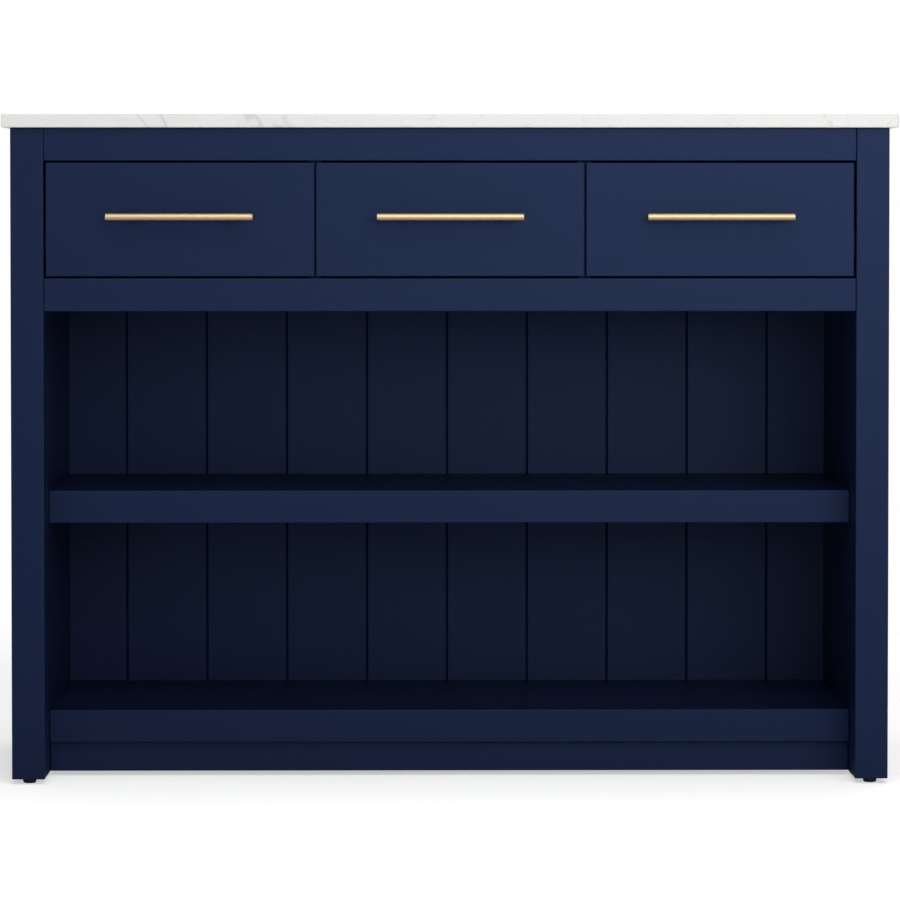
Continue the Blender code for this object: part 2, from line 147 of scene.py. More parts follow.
class Signal:
    """One output of a material's nodes. Arithmetic on it adds the nodes that work it out."""

    def __init__(self, recipe, socket):
        self.recipe = recipe
        self.socket = socket

    def is_triple(self):
        """Whether it carries a vector or a colour."""
        return self.socket.type in ("VECTOR", "RGBA")

    def combine(self, operation, other=None, swapped=False):
        """A Math node, or a Vector Math node if either side is a vector or a colour."""
        pair = (other, self) if swapped else (self, other)
        pair = [side for side in pair if side is not None]
        triple = any(
            side.is_triple() if isinstance(side, Signal) else isinstance(side, tuple)
            for side in pair
        )
        kind = "ShaderNodeVectorMath" if triple else "ShaderNodeMath"
        return self.recipe.node(kind, {"operation": operation}, dict(enumerate(pair)))

    def __add__(self, other):
        return self.combine("ADD", other)

    def __radd__(self, other):
        return self.combine("ADD", other, swapped=True)

    def __sub__(self, other):
        return self.combine("SUBTRACT", other)

    def __rsub__(self, other):
        return self.combine("SUBTRACT", other, swapped=True)

    def __mul__(self, other):
        return self.combine("MULTIPLY", other)

    def __rmul__(self, other):
        return self.combine("MULTIPLY", other, swapped=True)

    def __abs__(self):
        return self.combine("ABSOLUTE")


class Graph:
    """The nodes of a material or a world, added by what they work out."""

    def __init__(self, tree):
        self.tree = tree

    def feed(self, socket, value):
        """Link a signal to a socket, or set its own value."""
        if isinstance(value, Signal):
            self.tree.links.new(value.socket, socket)
        elif socket.type == "RGBA":
            socket.default_value = (*value[:3], 1.0)
        elif socket.type == "VECTOR" and not isinstance(value, (tuple, list, Vector)):
            socket.default_value = (value, value, value)
        else:
            socket.default_value = value

    def node(self, kind, settings=None, inputs=None, output=0):
        """A node of that kind: its settings first, then its sockets by name or place."""
        made = self.tree.nodes.new(kind)
        for name, value in (settings or {}).items():
            setattr(made, name, value)
        for key, value in (inputs or {}).items():
            self.feed(made.inputs[key], value)
        return Signal(self, made.outputs[output])

    def part(self, triple, axis):
        """One number of a vector."""
        return self.node("ShaderNodeSeparateXYZ", {}, {0: triple}, axis)

    def noise(self, place, scale, detail=2.0, roughness=0.5, output=0):
        """Soft noise from 0 to 1. Output 1 is its colour."""
        return self.node(
            "ShaderNodeTexNoise", {},
            {"Vector": place, "Scale": scale, "Detail": detail, "Roughness": roughness}, output,
        )

    def fade(self, value, start, end, low=0.0, high=1.0):
        """Smooth change from low to high as a value goes from start to end."""
        return self.node(
            "ShaderNodeMapRange", {"interpolation_type": "SMOOTHSTEP"},
            {"Value": value, "From Min": start, "From Max": end, "To Min": low, "To Max": high},
        )

    def blend(self, factor, first, second):
        """A colour from first at 0 to second at 1."""
        return self.node(
            "ShaderNodeMix", {"data_type": "RGBA"}, {0: factor, 6: first, 7: second}, 2
        )


class Recipe(Graph):
    """A new material, whose Principled shader is fed by signals."""

    def __init__(self, name, **constants):
        self.material = bpy.data.materials.new(name)
        self.material.use_nodes = True
        super().__init__(self.material.node_tree)
        self.shader = self.tree.nodes["Principled BSDF"]
        for socket, value in constants.items():
            self.set(socket.replace("_", " ").title().replace("Ior", "IOR"), value)

    def set(self, socket, value):
        """Give one of the Principled shader's sockets a value or a signal."""
        self.feed(self.shader.inputs[socket], value)

    def place(self):
        """The point being shaded, in metres. It moves with its piece."""
        return self.node("ShaderNodeTexCoord", output="Object")

    def bump(self, height, strength, distance):
        """Raise the surface by a height signal times distance in metres."""
        normal = self.node(
            "ShaderNodeBump", {}, {"Strength": strength, "Distance": distance, "Height": height}
        )
        self.set("Normal", normal)


def scaled(colour, amount):
    """A colour made lighter or darker."""
    return tuple(min(1.0, part * amount) for part in colour)


def white_stone(colours):
    """Pale polished stone: clouds and fine grey veins that run on over its edges."""
    stone = Recipe("veined_stone", specular_ior_level=0.45)
    place = stone.place()
    drift = stone.noise(place, 1.9, 4.0, 0.55, output=1)
    bent = place + (drift - (0.5, 0.5, 0.5)) * 0.42
    slanted = stone.node(
        "ShaderNodeMapping", {}, {"Vector": bent, "Rotation": (0.3, 0.2, 0.62), "Scale": (1.0, 2.6, 1.3)}
    )
    wide = abs(stone.noise(slanted, 2.1, 4.0, 0.55) - 0.5)
    fine = abs(stone.noise(slanted, 6.1, 4.0, 0.6) - 0.5)
    strong = stone.fade(stone.noise(place, 3.1, 2.0), 0.40, 0.66)
    veins = stone.fade(wide, 0.0, 0.0065, 1.0, 0.0) * strong * 0.42
    threads = stone.fade(fine, 0.0, 0.0070, 1.0, 0.0) * (1.0 - strong) * 0.22
    halo = stone.fade(wide, 0.0, 0.05, 1.0, 0.0) * strong * 0.06
    clouds = stone.noise(place, 4.2, 4.0, 0.6)
    speckle = stone.noise(place, 900.0, 1.0)
    ground = stone.blend(clouds, scaled(colours.stone, 0.965), scaled(colours.stone, 1.03))
    ground = stone.blend(speckle * 0.05, ground, scaled(colours.stone, 0.72))
    stone.set("Base Color", stone.blend(veins + threads + halo, ground, colours.vein))
    stone.set("Roughness", 0.27 + 0.05 * clouds + 0.06 * veins)
    return stone.material


def navy_lacquer(colours):
    """Sprayed satin lacquer with a faint orange peel."""
    lacquer = Recipe("satin_lacquer", specular_ior_level=0.38, specular_tint=colours.lacquer_sheen)
    place = lacquer.place()
    cast = lacquer.noise(place, 3.5, 3.0)
    peel = lacquer.noise(place, 420.0, 2.0)
    lacquer.set(
        "Base Color",
        lacquer.blend(cast, scaled(colours.lacquer, 0.93), scaled(colours.lacquer, 1.07)),
    )
    lacquer.set("Roughness", 0.37 + 0.05 * lacquer.noise(place, 60.0, 3.0) + 0.03 * cast)
    lacquer.bump(peel, 0.12, 0.0002)
    return lacquer.material


def birch(name, along, colours):
    """Oiled birch whose grain runs along one axis."""
    wood = Recipe(name, specular_ior_level=0.4)
    place = wood.place()
    stretch = tuple(1.2 if axis == along else 26.0 for axis in range(3))
    fibre = tuple(6.0 if axis == along else 900.0 for axis in range(3))
    bands = wood.noise(place * stretch, 1.0, 4.0, 0.6)
    fibres = wood.noise(place * fibre, 1.0, 2.0)
    cast = wood.noise(place, 5.0, 2.0)
    grain = wood.fade(bands, 0.35, 0.72) * 0.55 + fibres * 0.22 + cast * 0.1
    wood.set("Base Color", wood.blend(grain, colours.birch, colours.birch_grain))
    wood.set("Roughness", 0.42 + 0.16 * fibres)
    wood.bump(fibres, 0.18, 0.0003)
    return wood.material


def brushed_brass(colours):
    """Champagne brass brushed along the bar."""
    brass = Recipe("champagne_brass", metallic=1.0)
    place = brass.place()
    streaks = brass.noise(place * (6.0, 5200.0, 5200.0), 1.0, 2.0)
    cast = brass.noise(place, 14.0, 2.0)
    mix = 0.5 * streaks + 0.5 * cast
    brass.set("Base Color", brass.blend(mix, scaled(colours.brass, 0.95), scaled(colours.brass, 1.05)))
    brass.set("Roughness", 0.34 + 0.08 * streaks)
    brass.bump(streaks, 0.03, 0.00001)
    return brass.material


def zinc_steel(colours):
    """Zinc-plated sheet with faint rolling lines front to back."""
    steel = Recipe("rolled_zinc", metallic=1.0)
    place = steel.place()
    lines = steel.noise(place * (1500.0, 14.0, 1500.0), 1.0, 2.0)
    spangle = steel.noise(place, 130.0, 2.0)
    steel.set(
        "Base Color", steel.blend(spangle, scaled(colours.steel, 0.86), scaled(colours.steel, 1.06))
    )
    steel.set("Roughness", 0.24 + 0.12 * lines + 0.08 * spangle)
    steel.bump(lines, 0.08, 0.00006)
    return steel.material


def black_nylon(colours):
    """Moulded plastic with a fine texture."""
    nylon = Recipe("moulded_nylon", specular_ior_level=0.4)
    place = nylon.place()
    pits = nylon.noise(place, 1400.0, 2.0)
    nylon.set("Base Color", nylon.blend(pits, colours.nylon, scaled(colours.nylon, 1.7)))
    nylon.set("Roughness", 0.46 + 0.12 * pits)
    nylon.bump(pits, 0.2, 0.0002)
    return nylon.material


def finish(name):
    """The material called name, made the first time it is asked for."""
    made = bpy.data.materials.get(name)
    if made is not None:
        return made
    colours = bpy.context.scene.island_finishes
    makers = {
        "veined_stone": white_stone,
        "satin_lacquer": navy_lacquer,
        "birch_crosswise": lambda shades: birch("birch_crosswise", 0, shades),
        "birch_lengthwise": lambda shades: birch("birch_lengthwise", 1, shades),
        "champagne_brass": brushed_brass,
        "rolled_zinc": zinc_steel,
        "moulded_nylon": black_nylon,
    }
    return makers[name](colours)


# ---- Pieces ------------------------------------------------------------------------------

def dress(piece, finish_name):
    """Give a piece one material on all of its faces."""
    piece.data.materials.clear()
    piece.data.materials.append(finish(finish_name))


def ring_solid(shape, first, second):
    """A closed solid between two outlines with the same number of points."""
    near = [shape.verts.new(point) for point in first]
    far = [shape.verts.new(point) for point in second]
    shape.faces.new(near)
    shape.faces.new(far)
    for index in range(len(near)):
        after = (index + 1) % len(near)
        shape.faces.new((near[index], near[after], far[after], far[index]))


def slab(shape, low, high, edge=0.0, segments=3):
    """A box between two corners, with rounded edges."""
    corners = [(low[axis], high[axis]) for axis in range(3)]
    (x0, x1), (y0, y1), (z0, z1) = corners
    before = set(shape.edges)
    ring_solid(
        shape,
        [(x0, y0, z0), (x1, y0, z0), (x1, y1, z0), (x0, y1, z0)],
        [(x0, y0, z1), (x1, y0, z1), (x1, y1, z1), (x0, y1, z1)],
    )
    if edge:
        added = [line for line in shape.edges if line not in before]
        bmesh.ops.bevel(
            shape, geom=added, offset=edge, segments=segments, affect="EDGES", profile=0.5
        )


def turned(shape, profile, place, axis="Z", segments=48):
    """A solid of revolution: the profile's points are (radius, distance along the axis)."""
    turn = {"X": Matrix.Rotation(math.pi / 2, 4, "Y"), "Y": Matrix.Rotation(-math.pi / 2, 4, "X")}
    matrix = Matrix.Translation(place) @ turn.get(axis, Matrix.Identity(4))
    rings = []
    for radius, along in profile:
        count = segments if radius > 0 else 1
        ring = []
        for step in range(count):
            angle = 2 * math.pi * step / segments
            point = Vector((radius * math.cos(angle), radius * math.sin(angle), along))
            ring.append(shape.verts.new(matrix @ point))
        rings.append(ring)
    for lower, upper in zip(rings, rings[1:]):
        for step in range(segments):
            after = (step + 1) % segments
            corners = (
                lower[step % len(lower)], lower[after % len(lower)],
                upper[after % len(upper)], upper[step % len(upper)],
            )
            shape.faces.new(dict.fromkeys(corners))


def arc(centre, radius, start, end, steps):
    """Points of a rounded corner in a profile, from one angle to another in degrees."""
    points = []
    for step in range(steps + 1):
        angle = math.radians(start + (end - start) * step / steps)
        points.append(
            (centre[0] + radius * math.cos(angle), centre[1] + radius * math.sin(angle))
        )
    return points


def object_from(name, shape):
    """Turn a shape into an object of the scene."""
    bmesh.ops.recalc_face_normals(shape, faces=shape.faces)
    mesh = bpy.data.meshes.new(name)
    shape.to_mesh(mesh)
    shape.free()
    made = bpy.data.objects.new(name, mesh)
    bpy.context.scene.collection.objects.link(made)
    return made


def settle(piece):
    """Keep the shape that a piece's modifiers give it."""
    bpy.context.view_layer.update()
    view = bpy.context.evaluated_depsgraph_get()
    mesh = bpy.data.meshes.new_from_object(piece.evaluated_get(view))
    mesh.name = piece.name
    piece.modifiers.clear()
    piece.data = mesh


def carve(piece, tool, operation="DIFFERENCE"):
    """Cut one object with another, or join them, and take the tool away."""
    boolean = piece.modifiers.new("carve", "BOOLEAN")
    boolean.operation = operation
    boolean.solver = "EXACT"
    boolean.object = tool
    settle(piece)
    bpy.data.objects.remove(tool)


def smooth(piece, angle):
    """Shade a piece smooth, except along edges sharper than an angle in degrees."""
    piece.data.polygons.foreach_set("use_smooth", [True] * len(piece.data.polygons))
    piece.data.set_sharp_from_angle(angle=math.radians(angle))
    even = piece.modifiers.new("even_normals", "WEIGHTED_NORMAL")
    even.keep_sharp = True
    settle(piece)


def complete(piece, finish_name, body, *replaced):
    """Give a new piece its finish and its body, and let it stand for the nodes it replaces."""
    dress(piece, finish_name)
    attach(piece, body)
    if replaced:
        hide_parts(*replaced)


# ---- Planked walls -----------------------------------------------------------------------

TONGUE_REACH = 0.0050
TONGUE_HALF = 0.0015
GROOVE_DEPTH = 0.0060
GROOVE_HALF = 0.0017
EASED_BEVEL = ((0.0, 1.0), (0.25, 0.62), (0.75, 0.14), (1.0, 0.0))  # in from the joint, down


def tongue_outline(edge, inward, middle, reach, half):
    """The four corners of a tongue or a groove on a plank's edge, from the back to the front."""
    return [
        (edge, middle - half), (edge + inward * reach, middle - half),
        (edge + inward * reach, middle + half), (edge, middle + half),
    ]


def plank_outline(start, end, depth, sizes, tongue, groove):
    """Section of one plank: a tongue on its left, a groove on its right, a bevel at each joint."""
    middle = depth / 2
    bevel = sizes.plank_chamfer
    points = [(start, 0.0)]
    if tongue:
        points += tongue_outline(start, -1, middle, TONGUE_REACH, TONGUE_HALF)
        points += [(start + bevel * inward, depth - bevel * down) for inward, down in EASED_BEVEL]
    else:
        points.append((start, depth))
    if groove:
        points += [
            (end - bevel * inward, depth - bevel * down) for inward, down in reversed(EASED_BEVEL)
        ]
        points += reversed(tongue_outline(end, -1, middle, GROOVE_DEPTH, GROOVE_HALF))
    else:
        points.append((end, depth))
    points.append((end, 0.0))
    return points


def lay_planks(shape, width, low, high, depth, joints, sizes):
    """Planks side by side across a width, between two heights. Joints are places across it."""
    edges = [-width / 2, *joints, width / 2]
    half_gap = sizes.plank_gap / 2
    last = len(edges) - 2
    for index in range(last + 1):
        first = index == 0
        start = edges[index] + (0.0 if first else half_gap)
        end = edges[index + 1] - (0.0 if index == last else half_gap)
        outline = plank_outline(start, end, depth, sizes, not first, index != last)
        ring_solid(
            shape,
            [(across, out, low) for across, out in outline],
            [(across, out, high) for across, out in outline],
        )


def face_wall(shape, node, across, outwards):
    """Turn a wall made at the origin to face outwards, and put it where its node is."""
    low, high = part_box(node)
    middle = (low + high) / 2
    back = Vector(outwards)
    depth = abs((high - low).dot(back))
    foot = Vector((middle.x, middle.y, low.z)) - back * depth / 2
    turn = Matrix((across, outwards, (0, 0, 1))).transposed().to_4x4()
    bmesh.ops.transform(shape, matrix=Matrix.Translation(foot) @ turn, verts=shape.verts)


def wall_size(node, along):
    """Width, height and depth of an upright wall that runs along X (0) or Y (1)."""
    size = Vector(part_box(node)[1]) - Vector(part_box(node)[0])
    return size[along], size.z, size[1 - along]


def joints_across(count, pitch):
    """Places of evenly spaced plank joints around the middle."""
    return [(index - (count - 1) / 2) * pitch for index in range(count)]


class ISLAND_OT_plank_walls(bpy.types.Operator):
    """Build the tongue-and-groove walls: inside the shelves, on both sides and behind"""

    bl_idname = "island.plank_walls"
    bl_label = "Plank the walls"

    def execute(self, context):
        sizes = context.scene.island_sizes
        self.inner_wall(sizes)
        self.outer_wall("left_side_panel", 1, (0, -1, 0), (-1, 0, 0), 3, sizes)
        self.outer_wall("right_side_panel", 1, (0, 1, 0), (1, 0, 0), 3, sizes)
        self.outer_wall("rear_panel", 0, (-1, 0, 0), (0, 1, 0), 8, sizes)
        return {"FINISHED"}

    def inner_wall(self, sizes):
        """Planks behind the shelves."""
        width, height, depth = wall_size("back_panel", 0)
        shape = bmesh.new()
        lay_planks(shape, width, 0.0, height, depth, joints_across(9, sizes.plank_pitch), sizes)
        face_wall(shape, "back_panel", (1, 0, 0), (0, -1, 0))
        wall = object_from("shelf_planks", shape)
        smooth(wall, 20)
        complete(wall, "satin_lacquer", "cabinet", "back_panel")

    def outer_wall(self, node, along, across, outwards, count, sizes):
        """Planks between a top and a bottom rail that stand a little proud of them."""
        width, height, depth = wall_size(node, along)
        shape = bmesh.new()
        border = sizes.border
        room = sizes.joint_gap
        for low, high in ((0.0, border), (height - border, height)):
            slab(shape, (-width / 2, 0.0, low), (width / 2, depth, high), sizes.eased_edge)
        lay_planks(
            shape, width, border + room, height - border - room, depth - sizes.field_depth,
            joints_across(count, sizes.plank_pitch), sizes,
        )
        face_wall(shape, node, across, outwards)
        wall = object_from(node.replace("panel", "planks"), shape)
        smooth(wall, 40)
        complete(wall, "satin_lacquer", "cabinet", node)


# ---- Drawer boxes ------------------------------------------------------------------------

GROOVE_ROOM = 0.0003  # around a drawer's bottom
TAILS = 3
TAIL_SHARE = 0.2167  # of a board's height
PIN_SHARE = 0.1167


def tail_levels(height, flare):
    """Heights of the dovetails' edges, from the bottom: tails stand between each pair."""
    tail = height * TAIL_SHARE
    pin = height * PIN_SHARE
    levels = []
    for index in range(TAILS):
        start = pin / 2 + index * (tail + pin)
        levels.append((start - flare, start + tail + flare))
    return levels


def tailed_outline(start, end, low, high, board, sizes):
    """Outline of a drawer side in Y and Z, with dovetails at both ends."""
    height = high - low
    flare = sizes.pin_slope
    wide = tail_levels(height, flare)
    narrow = tail_levels(height, 0.0)

    def edge(face, shoulder):
        points = []
        for (wide_low, wide_high), (low_level, high_level) in zip(wide, narrow):
            points += [
                (shoulder, low + low_level), (face, low + wide_low),
                (face, low + wide_high), (shoulder, low + high_level),
            ]
        return points

    front = edge(start, start + board)
    back = edge(end, end - board)
    points = [(start + board, low), (end - board, low)]
    points += back
    points += [(end - board, high), (start + board, high)]
    points += reversed(front)
    return points


def pinned_outline(left, right, low, high, board, flare, gap):
    """Outline of a drawer front or back in X and Z: pins reach out past both ends."""
    tails = tail_levels(high - low, flare)
    inner = board + gap
    points = [(left, low), (right, low)]
    for bottom, top in tails:
        points += [
            (right, low + bottom - gap), (right - inner, low + bottom - gap),
            (right - inner, low + top + gap), (right, low + top + gap),
        ]
    points += [(right, high), (left, high)]
    for bottom, top in reversed(tails):
        points += [
            (left, low + top + gap), (left + inner, low + top + gap),
            (left + inner, low + bottom - gap), (left, low + bottom - gap),
        ]
    return points


class ISLAND_OT_join_boxes(bpy.types.Operator):
    """Build the dovetailed drawer boxes, grooved for their bottoms"""

    bl_idname = "island.join_boxes"
    bl_label = "Join the drawer boxes"

    def execute(self, context):
        sizes = context.scene.island_sizes
        for drawer in DRAWERS:
            self.box_sides(drawer, sizes)
            self.box_ends(drawer, sizes)
        return {"FINISHED"}

    def groove(self, drawer):
        """A cutter a little larger than the drawer's bottom."""
        low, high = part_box(f"{drawer}_drawer_bottom")
        room = Vector((1.0, 1.0, 1.0)) * GROOVE_ROOM
        shape = bmesh.new()
        slab(shape, low - room, high + room)
        return object_from(f"{drawer}_groove", shape)

    def box_sides(self, drawer, sizes):
        """The two sides, with tails at their ends."""
        for side in SIDES:
            node = f"{drawer}_drawer_side_{side}"
            low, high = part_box(node)
            outline = tailed_outline(low.y, high.y, low.z, high.z, sizes.box_board, sizes)
            shape = bmesh.new()
            ring_solid(
                shape, [(low.x, y, z) for y, z in outline], [(high.x, y, z) for y, z in outline]
            )
            board = object_from(f"{drawer}_box_{side}_side", shape)
            carve(board, self.groove(drawer))
            complete(board, "birch_lengthwise", f"{drawer}_drawer", node)

    def box_ends(self, drawer, sizes):
        """The front and the back, with pins that fill the gaps between the tails."""
        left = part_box(f"{drawer}_drawer_side_left")[0].x
        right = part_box(f"{drawer}_drawer_side_right")[1].x
        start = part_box(f"{drawer}_drawer_side_left")[0].y
        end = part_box(f"{drawer}_drawer_side_left")[1].y
        for name, node, face, shoulder in (
            ("front", f"{drawer}_drawer_inner_front", start, start + sizes.box_board),
            ("back", f"{drawer}_drawer_back", end, end - sizes.box_board),
        ):
            low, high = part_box(node)
            outlines = []
            for y, flare in ((face, sizes.pin_slope), (shoulder, 0.0)):
                outline = pinned_outline(
                    left, right, low.z, high.z, sizes.box_board, flare, sizes.joint_gap
                )
                outlines.append([(x, y, z) for x, z in outline])
            shape = bmesh.new()
            ring_solid(shape, *outlines)
            board = object_from(f"{drawer}_box_{name}", shape)
            carve(board, self.groove(drawer))
            complete(board, "birch_crosswise", f"{drawer}_drawer", node)


# ---- Pulls -------------------------------------------------------------------------------

class ISLAND_OT_turn_pulls(bpy.types.Operator):
    """Build the round pulls: a bar with eased ends on two posts"""

    bl_idname = "island.turn_pulls"
    bl_label = "Turn the pulls"

    def execute(self, context):
        sizes = context.scene.island_sizes
        for drawer in DRAWERS:
            self.pull(drawer, sizes)
        return {"FINISHED"}

    def pull(self, drawer, sizes):
        """One pull, in the place of its node."""
        node = f"{drawer}_drawer_pull"
        low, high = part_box(node)
        middle = (low + high) / 2
        radius = sizes.bar_radius
        half = (high.x - low.x) / 2
        ease = 0.0009
        end = arc((radius - ease, half - ease), ease, 90, 0, 4)
        profile = [(0.0, half), *end]
        profile += [(r, -along) for r, along in reversed(end)]
        profile.append((0.0, -half))
        shape = bmesh.new()
        turned(shape, profile, (middle.x, low.y + radius, middle.z), "X", 64)
        bar = object_from(f"{drawer}_pull", shape)
        length = high.y - low.y - radius
        foot = 0.0006
        for sign in (-1, 1):
            stand = [
                (0.0, 0.0), (sizes.post_radius, 0.0), (sizes.post_radius, length - foot * 2),
                (sizes.post_radius + foot, length - foot), (sizes.post_radius + foot, length),
                (0.0, length),
            ]
            shape = bmesh.new()
            x = middle.x + sign * sizes.post_centres / 2
            turned(shape, stand, (x, low.y + radius, middle.z), "Y", 40)
            carve(bar, object_from("stand", shape), "UNION")
        smooth(bar, 32)
        complete(bar, "champagne_brass", f"{drawer}_drawer", node)


# ---- Fittings ----------------------------------------------------------------------------

SCREW_INSET = 0.045  # front screws, from the board's ends
SCREW_ABOVE = 0.038  # and from its lower edge
SCREW_BELOW = 0.020  # and from its upper edge
BALLS = 14  # in one row
BALL_PITCH = 0.0078
FIRST_BALL = 0.012  # behind the slide's front end
BUMPER_FRONT = 0.0024  # before the slide's front end
BUMPER_REAR = 0.0002


def screw_head(radius, height):
    """A pan head with a cross recess. It stands on Z = 0."""
    profile = [(0.0, 0.0), (radius, 0.0)]
    profile += arc((radius - height * 0.70, height * 0.30), height * 0.70, 0, 80, 5)
    profile.append((0.0, height * 1.02))
    shape = bmesh.new()
    turned(shape, profile, (0.0, 0.0, 0.0), "Z", 28)
    head = object_from("screw_head", shape)
    reach = radius * 0.52
    width = radius * 0.11
    shape = bmesh.new()
    slab(shape, (-reach, -width, height * 0.45), (reach, width, height * 1.5))
    carve(head, object_from("slot_across", shape))
    shape = bmesh.new()
    slab(shape, (-width, -reach, height * 0.45), (width, reach, height * 1.5))
    carve(head, object_from("slot_along", shape))
    return head


def scatter(name, pattern, places, facing, twist=37.0):
    """One piece made of copies of a pattern, whose Z points the way they face."""
    shape = bmesh.new()
    turn = Vector(facing).to_track_quat("Z", "Y").to_matrix().to_4x4()
    for index, place in enumerate(places):
        spin = Matrix.Rotation(math.radians(twist * index), 4, "Z")
        copy = pattern.data.copy()
        copy.transform(Matrix.Translation(place) @ turn @ spin)
        shape.from_mesh(copy)
        bpy.data.meshes.remove(copy)
    return object_from(name, shape)


class ISLAND_OT_drive_screws(bpy.types.Operator):
    """Add the screws that hold the drawer fronts and the pulls, inside each drawer"""

    bl_idname = "island.drive_screws"
    bl_label = "Drive the screws"

    def execute(self, context):
        sizes = context.scene.island_sizes
        small = screw_head(0.0037, 0.0022)
        broad = screw_head(0.0046, 0.0026)
        for drawer in DRAWERS:
            low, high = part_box(f"{drawer}_drawer_inner_front")
            pull_low, pull_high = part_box(f"{drawer}_drawer_pull")
            pull_z = (pull_low.z + pull_high.z) / 2
            middle = (low.x + high.x) / 2
            corners = [
                (x, high.y, z)
                for x in (low.x + SCREW_INSET, high.x - SCREW_INSET)
                for z in (low.z + SCREW_ABOVE, high.z - SCREW_BELOW)
            ]
            stands = [
                (middle + sign * sizes.post_centres / 2, high.y, pull_z) for sign in (-1, 1)
            ]
            for name, pattern, places in (
                ("front_screws", small, corners), ("pull_screws", broad, stands),
            ):
                screws = scatter(f"{drawer}_{name}", pattern, places, (0, 1, 0))
                smooth(screws, 30)
                complete(screws, "rolled_zinc", f"{drawer}_drawer")
        bpy.data.objects.remove(small)
        bpy.data.objects.remove(broad)
        return {"FINISHED"}


class ISLAND_OT_fit_slides(bpy.types.Operator):
    """Add the slides' balls and their black end stops, which also darken the gaps between the drawer
    fronts as painted shade
    """

    bl_idname = "island.fit_slides"
    bl_label = "Fit out the slides"

    def execute(self, context):
        for drawer in DRAWERS:
            for side, inward in (("left", 1), ("right", -1)):
                self.bumpers_and_gap_shade(drawer, side, inward)
                self.balls(drawer, side, inward)
        return {"FINISHED"}

    def bumpers_and_gap_shade(self, drawer, side, inward):
        """A rim on the cabinet's member and a plug on the drawer's, behind the drawer front. Their black
        also stands in for the shade in the gaps between the fronts.
        """
        low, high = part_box(f"{drawer}_cabinet_slide_{side}")
        inner_low, inner_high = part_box(f"{drawer}_drawer_slide_{side}")
        wall = low.x if inward > 0 else high.x
        face = inner_high.x if inward > 0 else inner_low.x
        front = low.y - BUMPER_FRONT
        rear = low.y - BUMPER_REAR
        shape = bmesh.new()
        strips = (
            (wall, wall + inward * 0.0013, low.z, high.z),
            (wall + inward * 0.0014, face, low.z, inner_low.z - 0.0006),
            (wall + inward * 0.0014, face, inner_high.z + 0.0006, high.z),
        )
        for x0, x1, z0, z1 in strips:
            slab(shape, (min(x0, x1), front, z0), (max(x0, x1), rear, z1), 0.0003, 2)
        # black nylon: partly a real end stop, partly painted shade in the gap between drawer fronts
        rim = object_from(f"{drawer}_slide_rim_{side}", shape)
        complete(rim, "moulded_nylon", "cabinet")
        shape = bmesh.new()
        x0, x1 = sorted((wall + inward * 0.0021, face))
        slab(shape, (x0, front, inner_low.z), (x1, rear, inner_high.z), 0.0005, 2)
        plug = object_from(f"{drawer}_slide_plug_{side}", shape)
        complete(plug, "moulded_nylon", f"{drawer}_drawer")

    def balls(self, drawer, side, inward):
        """Two rows of balls between the members, above and below the drawer's one."""
        low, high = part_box(f"{drawer}_cabinet_slide_{side}")
        inner_low, inner_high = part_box(f"{drawer}_drawer_slide_{side}")
        wall = low.x if inward > 0 else high.x
        x = wall + inward * 0.0062
        radius = (high.z - inner_high.z - 0.0014) / 2 - 0.0001
        shape = bmesh.new()
        for z in (inner_low.z - radius - 0.0001, inner_high.z + radius + 0.0001):
            for index in range(BALLS):
                place = Matrix.Translation((x, low.y + FIRST_BALL + index * BALL_PITCH, z))
                bmesh.ops.create_icosphere(shape, subdivisions=2, radius=radius, matrix=place)
        balls = object_from(f"{drawer}_slide_balls_{side}", shape)
        smooth(balls, 80)
        complete(balls, "rolled_zinc", "cabinet")


# ---- Feet --------------------------------------------------------------------------------

class ISLAND_OT_turn_feet(bpy.types.Operator):
    """Build the four levelling feet"""

    bl_idname = "island.turn_feet"
    bl_label = "Turn the feet"

    def execute(self, context):
        for end in ("front", "rear"):
            for side in SIDES:
                self.foot(f"{end}_{side}")
        return {"FINISHED"}

    def foot(self, place):
        """A pad with a rounded rim under a stem."""
        node = f"{place}_foot"
        low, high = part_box(node)
        middle = (low + high) / 2
        radius = (high.x - low.x) / 2
        profile = [(0.0, 0.0)]
        profile += arc((radius - 0.0032, 0.0032), 0.0032, -90, 0, 7)
        profile += arc((radius - 0.0009, 0.0055), 0.0009, 0, 90, 4)
        profile += [(0.0062, 0.0064), (0.0060, 0.0060), (0.0044, 0.0060), (0.0040, 0.0064)]
        profile += [(0.0040, 0.0314), (0.0034, 0.0320), (0.0, 0.0320)]
        shape = bmesh.new()
        turned(shape, profile, (middle.x, middle.y, low.z), "Z", 56)
        foot = object_from(f"{place}_levelling_foot", shape)
        smooth(foot, 35)
        complete(foot, "moulded_nylon", f"{place}_leveller", node)


# ---- Boards that keep their shape --------------------------------------------------------

class ISLAND_OT_finish_boards(bpy.types.Operator):
    """Finish the pieces that keep the frame's own shape"""

    bl_idname = "island.finish_boards"
    bl_label = "Finish the boards"

    def execute(self, context):
        for name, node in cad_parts.items():
            surface = "satin_lacquer"
            if name == "worktop":
                surface = "veined_stone"
            elif "slide" in name:
                surface = "rolled_zinc"
            elif name.endswith("_pull"):
                surface = "champagne_brass"
            elif name.endswith("_foot"):
                surface = "moulded_nylon"
            elif "drawer_side" in name or "drawer_bottom" in name:
                surface = "birch_lengthwise"
            elif "inner_front" in name or name.endswith("drawer_back"):
                surface = "birch_crosswise"
            dress(node, surface)
        return {"FINISHED"}


# ---- Stage -------------------------------------------------------------------------------

def softbox(name, place, width, height, power):
    """A soft rectangular light turned towards the island."""
    light = bpy.data.lights.new(name, "AREA")
    light.shape = "RECTANGLE"
    light.size = width
    light.size_y = height
    light.energy = power
    lamp = bpy.data.objects.new(name, light)
    lamp.location = place
    lamp.rotation_euler = (LIGHT_AIM - Vector(place)).to_track_quat("-Z", "Y").to_euler()
    lamp.visible_camera = False
    bpy.context.scene.collection.objects.link(lamp)


